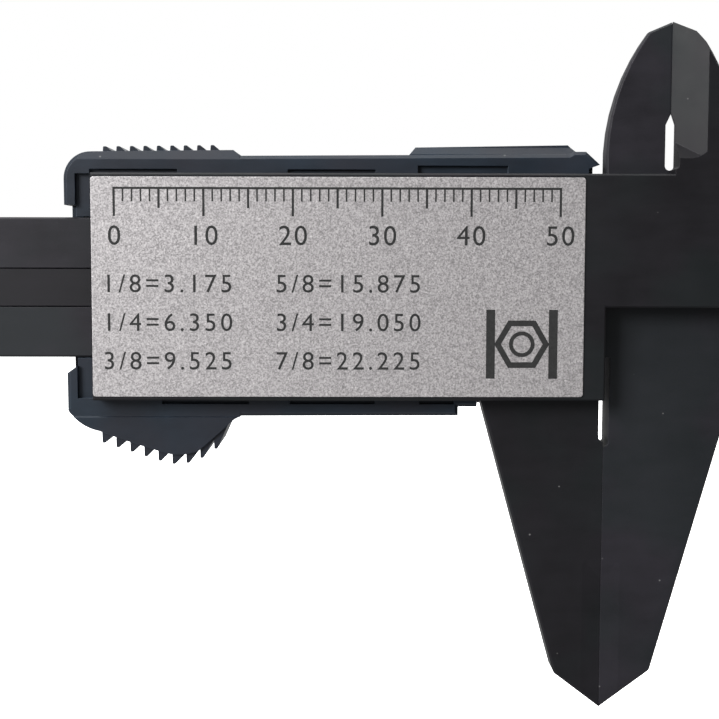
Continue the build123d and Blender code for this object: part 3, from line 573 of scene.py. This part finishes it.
# ---- scale on the beam -------------------------------------------------------------------
SCALE_ZERO = SHELL[0].x     # the slider's leading edge reads the scale
SCALE_TOP, SCALE_LOW = SCALE[1].z - 0.25 * MM, SCALE[0].z + 0.25 * MM
SCALE_FACE = SCALE[0].y
SCALE_LINE = 0.08 * MM      # half the width of a mark
SCALE_NUMERAL = 1.8 * MM
MM_STEPS = range(5, 151)
MM_MARKS = (2.6, 1.9, 1.2)
MM_FOOT = SCALE[1].z - 5.0 * MM
INCH_PARTS = 16
INCH_STEPS = range(4, 6 * INCH_PARTS - 1)
INCH_MARKS = (2.4, 1.7, 1.0)
INCH_FOOT = SCALE[0].z + 2.95 * MM


def millimetres(bm):
    """Marks along the upper edge of the scale, with a numeral every 10 mm."""
    for step in MM_STEPS:
        x = SCALE_ZERO + step * MM
        foot = SCALE_TOP - mark_length(step, 10, 5, MM_MARKS)
        upright(bm, x, SCALE_LINE, foot, SCALE_TOP, SCALE_FACE, FRONT)
        if step % 10 == 0:
            write(bm, str(step), x, MM_FOOT, SCALE_NUMERAL, SCALE_FACE, FRONT)


def inches(bm):
    """Marks every sixteenth of an inch along the lower edge, with a numeral every inch."""
    for step in INCH_STEPS:
        x = SCALE_ZERO + step * INCH / INCH_PARTS
        tip = SCALE_LOW + mark_length(step, INCH_PARTS, 4, INCH_MARKS)
        upright(bm, x, SCALE_LINE, SCALE_LOW, tip, SCALE_FACE, FRONT)
        if step % INCH_PARTS == 0:
            write(bm, str(step // INCH_PARTS), x, INCH_FOOT, SCALE_NUMERAL, SCALE_FACE, FRONT)


def scale_print():
    bm = bmesh.new()
    millimetres(bm)
    inches(bm)
    piece("scale_marks", bm, PALE_INK, "beam")


# ---- display side ------------------------------------------------------------------------
DIGIT_HIGH, DIGIT_WIDE = 6.6 * MM, 3.5 * MM
SEGMENT_HALF, SEGMENT_GAP = 0.36 * MM, 0.08 * MM
DIGIT_STEP, SLANT = 5.1 * MM, 0.10
DIGIT_RIGHT = WINDOW[1].x - 6.6 * MM        # left edge of the last digit
DIGIT_FOOT = (WINDOW[0].z + WINDOW[1].z) / 2 - DIGIT_HIGH / 2 + 0.3 * MM
POINT_ROOM = 0.9 * MM       # more room for the decimal point
POINT_HALF, POINT_BEFORE = 0.35 * MM, 1.15 * MM
ALL_SEGMENTS, ZERO, BLANK = "abcdefg", "abcdef", ""
READING = (ZERO, ZERO, ZERO, BLANK)         # from the last digit to the first
UNIT_RIGHT, UNIT_FOOT = WINDOW[1].x - 1.0 * MM, DIGIT_FOOT + DIGIT_HIGH - 1.6 * MM
UNIT_HIGH = 1.9 * MM
WINDOW_MARGIN, WINDOW_LINE = 0.75 * MM, 0.16 * MM   # of the printed line round the window
SIGN_HIGH = 1.5 * MM        # of the signs over the buttons
SIGN_FOOT = BUTTONS["units"][1].z + 0.75 * MM
POWER_OUTER, POWER_INNER = 0.8 * MM, 0.58 * MM
POWER_GAP = 0.7             # half of the gap in the power sign's ring, as an angle
POWER_LINE = 0.11 * MM      # half the width of the line in that gap


def segment_shape(key):
    """One bar of a seven-segment digit that stands on (0, 0), with pointed ends."""
    wide, high, middle, half = DIGIT_WIDE, DIGIT_HIGH, DIGIT_HIGH / 2, SEGMENT_HALF
    if key in "adg":
        z = {"a": high, "g": middle, "d": 0}[key]
        x0, x1 = SEGMENT_GAP, wide - SEGMENT_GAP
        return [(x0, z), (x0 + half, z + half), (x1 - half, z + half),
                (x1, z), (x1 - half, z - half), (x0 + half, z - half)]
    x = 0 if key in "ef" else wide
    foot = middle if key in "bf" else 0
    z0, z1 = foot + SEGMENT_GAP, foot + middle - SEGMENT_GAP
    return [(x, z0), (x + half, z0 + half), (x + half, z1 - half),
            (x, z1), (x - half, z1 - half), (x - half, z0 + half)]


def segments(bm, keys, x):
    """These bars of the digit whose left edge is at x."""
    for key in keys:
        points = [(x + px + SLANT * pz, DIGIT_FOOT + pz) for px, pz in segment_shape(key)]
        prism(bm, points, SCREEN[0].y, FRONT)


def display_digits():
    """A reading of 0.00 on the display, and the faint unlit segments beside it."""
    lit, ghost = bmesh.new(), bmesh.new()
    base = SCREEN[0].y
    for place, shown in enumerate(READING):
        x = DIGIT_RIGHT - place * DIGIT_STEP - (POINT_ROOM if place > 1 else 0)
        segments(lit, shown, x)
        segments(ghost, [key for key in ALL_SEGMENTS if key not in shown], x)
    point = DIGIT_RIGHT - DIGIT_STEP - POINT_BEFORE
    upright(lit, point, POINT_HALF, DIGIT_FOOT - POINT_HALF, DIGIT_FOOT + POINT_HALF, base, FRONT)
    write(lit, "mm", UNIT_RIGHT, UNIT_FOOT, UNIT_HIGH, base, FRONT, align="RIGHT", spread=1.0)
    piece("display_digits", lit, CRYSTAL_INK, "slider")
    piece("display_ghosts", ghost, GHOST_INK, "slider")


def frame_line(bm, base):
    """A thin printed rectangle round the window."""
    width = WINDOW_LINE
    x0, z0 = WINDOW[0].x - WINDOW_MARGIN, WINDOW[0].z - WINDOW_MARGIN
    x1, z1 = WINDOW[1].x + WINDOW_MARGIN, WINDOW[1].z + WINDOW_MARGIN
    bar(bm, x0, x1, z0, z0 + width, base, FRONT)
    bar(bm, x0, x1, z1 - width, z1, base, FRONT)
    bar(bm, x0, x0 + width, z0 + width, z1 - width, base, FRONT)
    bar(bm, x1 - width, x1, z0 + width, z1 - width, base, FRONT)


def power_sign(bm, x, z, base):
    """A ring that is open at the top, with a short line in the gap."""
    turn = math.tau - 2 * POWER_GAP
    ring(bm, x, z, POWER_OUTER, POWER_INNER, base, FRONT, start=POWER_GAP, turn=turn)
    upright(bm, x, POWER_LINE, z + 0.1 * MM, z + 1.0 * MM, base, FRONT)


def overlay_marks():
    """Printed signs on the front overlay, over the three buttons and round the display."""
    bm = bmesh.new()
    base = OVERLAY[0].y
    frame_line(bm, base)
    middle = {name: (low.x + high.x) / 2 for name, (low, high) in BUTTONS.items()}
    write(bm, "mm/in", middle["units"], SIGN_FOOT, SIGN_HIGH, base, FRONT)
    write(bm, "0", middle["zero"], SIGN_FOOT, SIGN_HIGH, base, FRONT)
    power_sign(bm, middle["power"], SIGN_FOOT + SIGN_HIGH / 2, base)
    piece("overlay_marks", bm, PALE_INK, "slider")


# ---- camera, light and floor -------------------------------------------------------------
FOCAL = 1.82476                         # focal length as a share of the picture's width
SENSOR = 36.0
PITCH, YAW, ROLL = -4.43, -0.541, -0.118            # degrees away from looking straight along -Y
CAMERA_FROM_LABEL = Vector((-0.99, 147.61, 3.34)) * MM
NEAREST, FARTHEST = 1 * MM, 20.0        # what the camera can see
WHITE = 1.0
DIM, BRIGHT = 0.33, 0.75                # light from the label side, and from the display side
DIM_FROM, BRIGHT_FROM = 0.4, -0.3       # how far towards +Y each begins, from -1 to 1
FLOOR_BELOW, FLOOR_REACH = 25 * MM, 6.0
LABEL_MIDDLE = (LABEL[0] + LABEL[1]) / 2


def camera():
    """Looks at the label side along -Y, a little downwards."""
    data = bpy.data.cameras.new("camera")
    obj = bpy.data.objects.new("camera", data)
    bpy.context.scene.collection.objects.link(obj)
    straight = Matrix(((-1, 0, 0), (0, 0, 1), (0, -1, 0)))      # rows: right, up, forward
    turn = Matrix.Rotation(math.radians(ROLL), 3, "Z")
    turn = turn @ Matrix.Rotation(math.radians(PITCH), 3, "X")
    turn = turn @ Matrix.Rotation(math.radians(YAW), 3, "Y")
    right, up, forward = turn @ straight
    place = Vector((LABEL_MIDDLE.x, LABEL[1].y, LABEL_MIDDLE.z)) + CAMERA_FROM_LABEL
    axes = Matrix((right, up, -forward)).transposed()
    obj.matrix_world = Matrix.Translation(place) @ axes.to_4x4()
    data.sensor_width = SENSOR
    data.lens = FOCAL * SENSOR
    data.clip_start, data.clip_end = NEAREST, FARTHEST
    bpy.context.scene.camera = obj


def softbox(name, place, size, watts):
    """A square area light at this place from the middle of the label, which it faces."""
    data = bpy.data.lights.new(name, "AREA")
    data.shape = "SQUARE"
    data.size = size
    data.energy = watts
    obj = bpy.data.objects.new(name, data)
    bpy.context.scene.collection.objects.link(obj)
    obj.location = LABEL_MIDDLE + Vector(place)
    obj.rotation_euler = (-Vector(place)).to_track_quat("-Z", "Y").to_euler()
    obj.visible_camera = False


def lights():
    softbox("key", place=(0.39, 0.38, 0.22), size=0.26, watts=5.8)
    softbox("top", place=(0.10, 0.12, 0.6), size=0.5, watts=4.6)
    softbox("low_fill", place=(0.20, 0.40, -0.38), size=0.5, watts=1.5)
    softbox("front_key", place=(-0.35, -0.50, 0.45), size=0.5, watts=5.0)


def surroundings():
    """White all round as the camera sees it. The light on the object is dim on the label side."""
    world = bpy.data.worlds.new("surroundings")
    bpy.context.scene.world = world
    world.use_nodes = True
    tree = world.node_tree
    way = tree.nodes.new("ShaderNodeSeparateXYZ")
    tree.links.new(tree.nodes.new("ShaderNodeTexCoord").outputs["Generated"], way.inputs[0])
    lit = tree.nodes.new("ShaderNodeMapRange")
    tree.links.new(way.outputs["Y"], lit.inputs[0])
    for index, value in zip((1, 2, 3, 4), (DIM_FROM, BRIGHT_FROM, DIM, BRIGHT)):
        lit.inputs[index].default_value = value
    seen = tree.nodes.new("ShaderNodeMapRange")
    tree.links.new(tree.nodes.new("ShaderNodeLightPath").outputs["Is Camera Ray"], seen.inputs[0])
    tree.links.new(lit.outputs[0], seen.inputs[3])
    seen.inputs[4].default_value = WHITE
    background = tree.nodes["Background"]
    background.inputs[0].default_value = (1, 1, 1, 1)
    tree.links.new(seen.outputs[0], background.inputs[1])
    bpy.context.scene.view_settings.view_transform = "Standard"


def floor():
    """A plain pale floor below the jaws."""
    bm = bmesh.new()
    level = CAD_LOW.z - FLOOR_BELOW
    corners = [bm.verts.new((FLOOR_REACH * x, FLOOR_REACH * y, level))
               for x, y in ((-1, -1), (1, -1), (1, 1), (-1, 1))]
    bm.faces.new(corners)
    mesh = bpy.data.meshes.new("floor")
    bm.to_mesh(mesh)
    bm.free()
    obj = bpy.data.objects.new("floor", mesh)
    bpy.context.scene.collection.objects.link(obj)
    look = Look("floor_paper", Roughness=0.9, Emission_Strength=0.95, Emission_Color=(1, 1, 1, 1))
    paper = look.noise(30 * MM, detail=4)
    look.colour(look.mix(paper, grey(0.90), grey(0.93)))
    mesh.materials.append(look.material)
    obj.visible_diffuse = False
    obj.visible_glossy = False


dress_nodes()
label_sheet()
label_print()
scale_print()
display_digits()
overlay_marks()
camera()
lights()
surroundings()
floor()
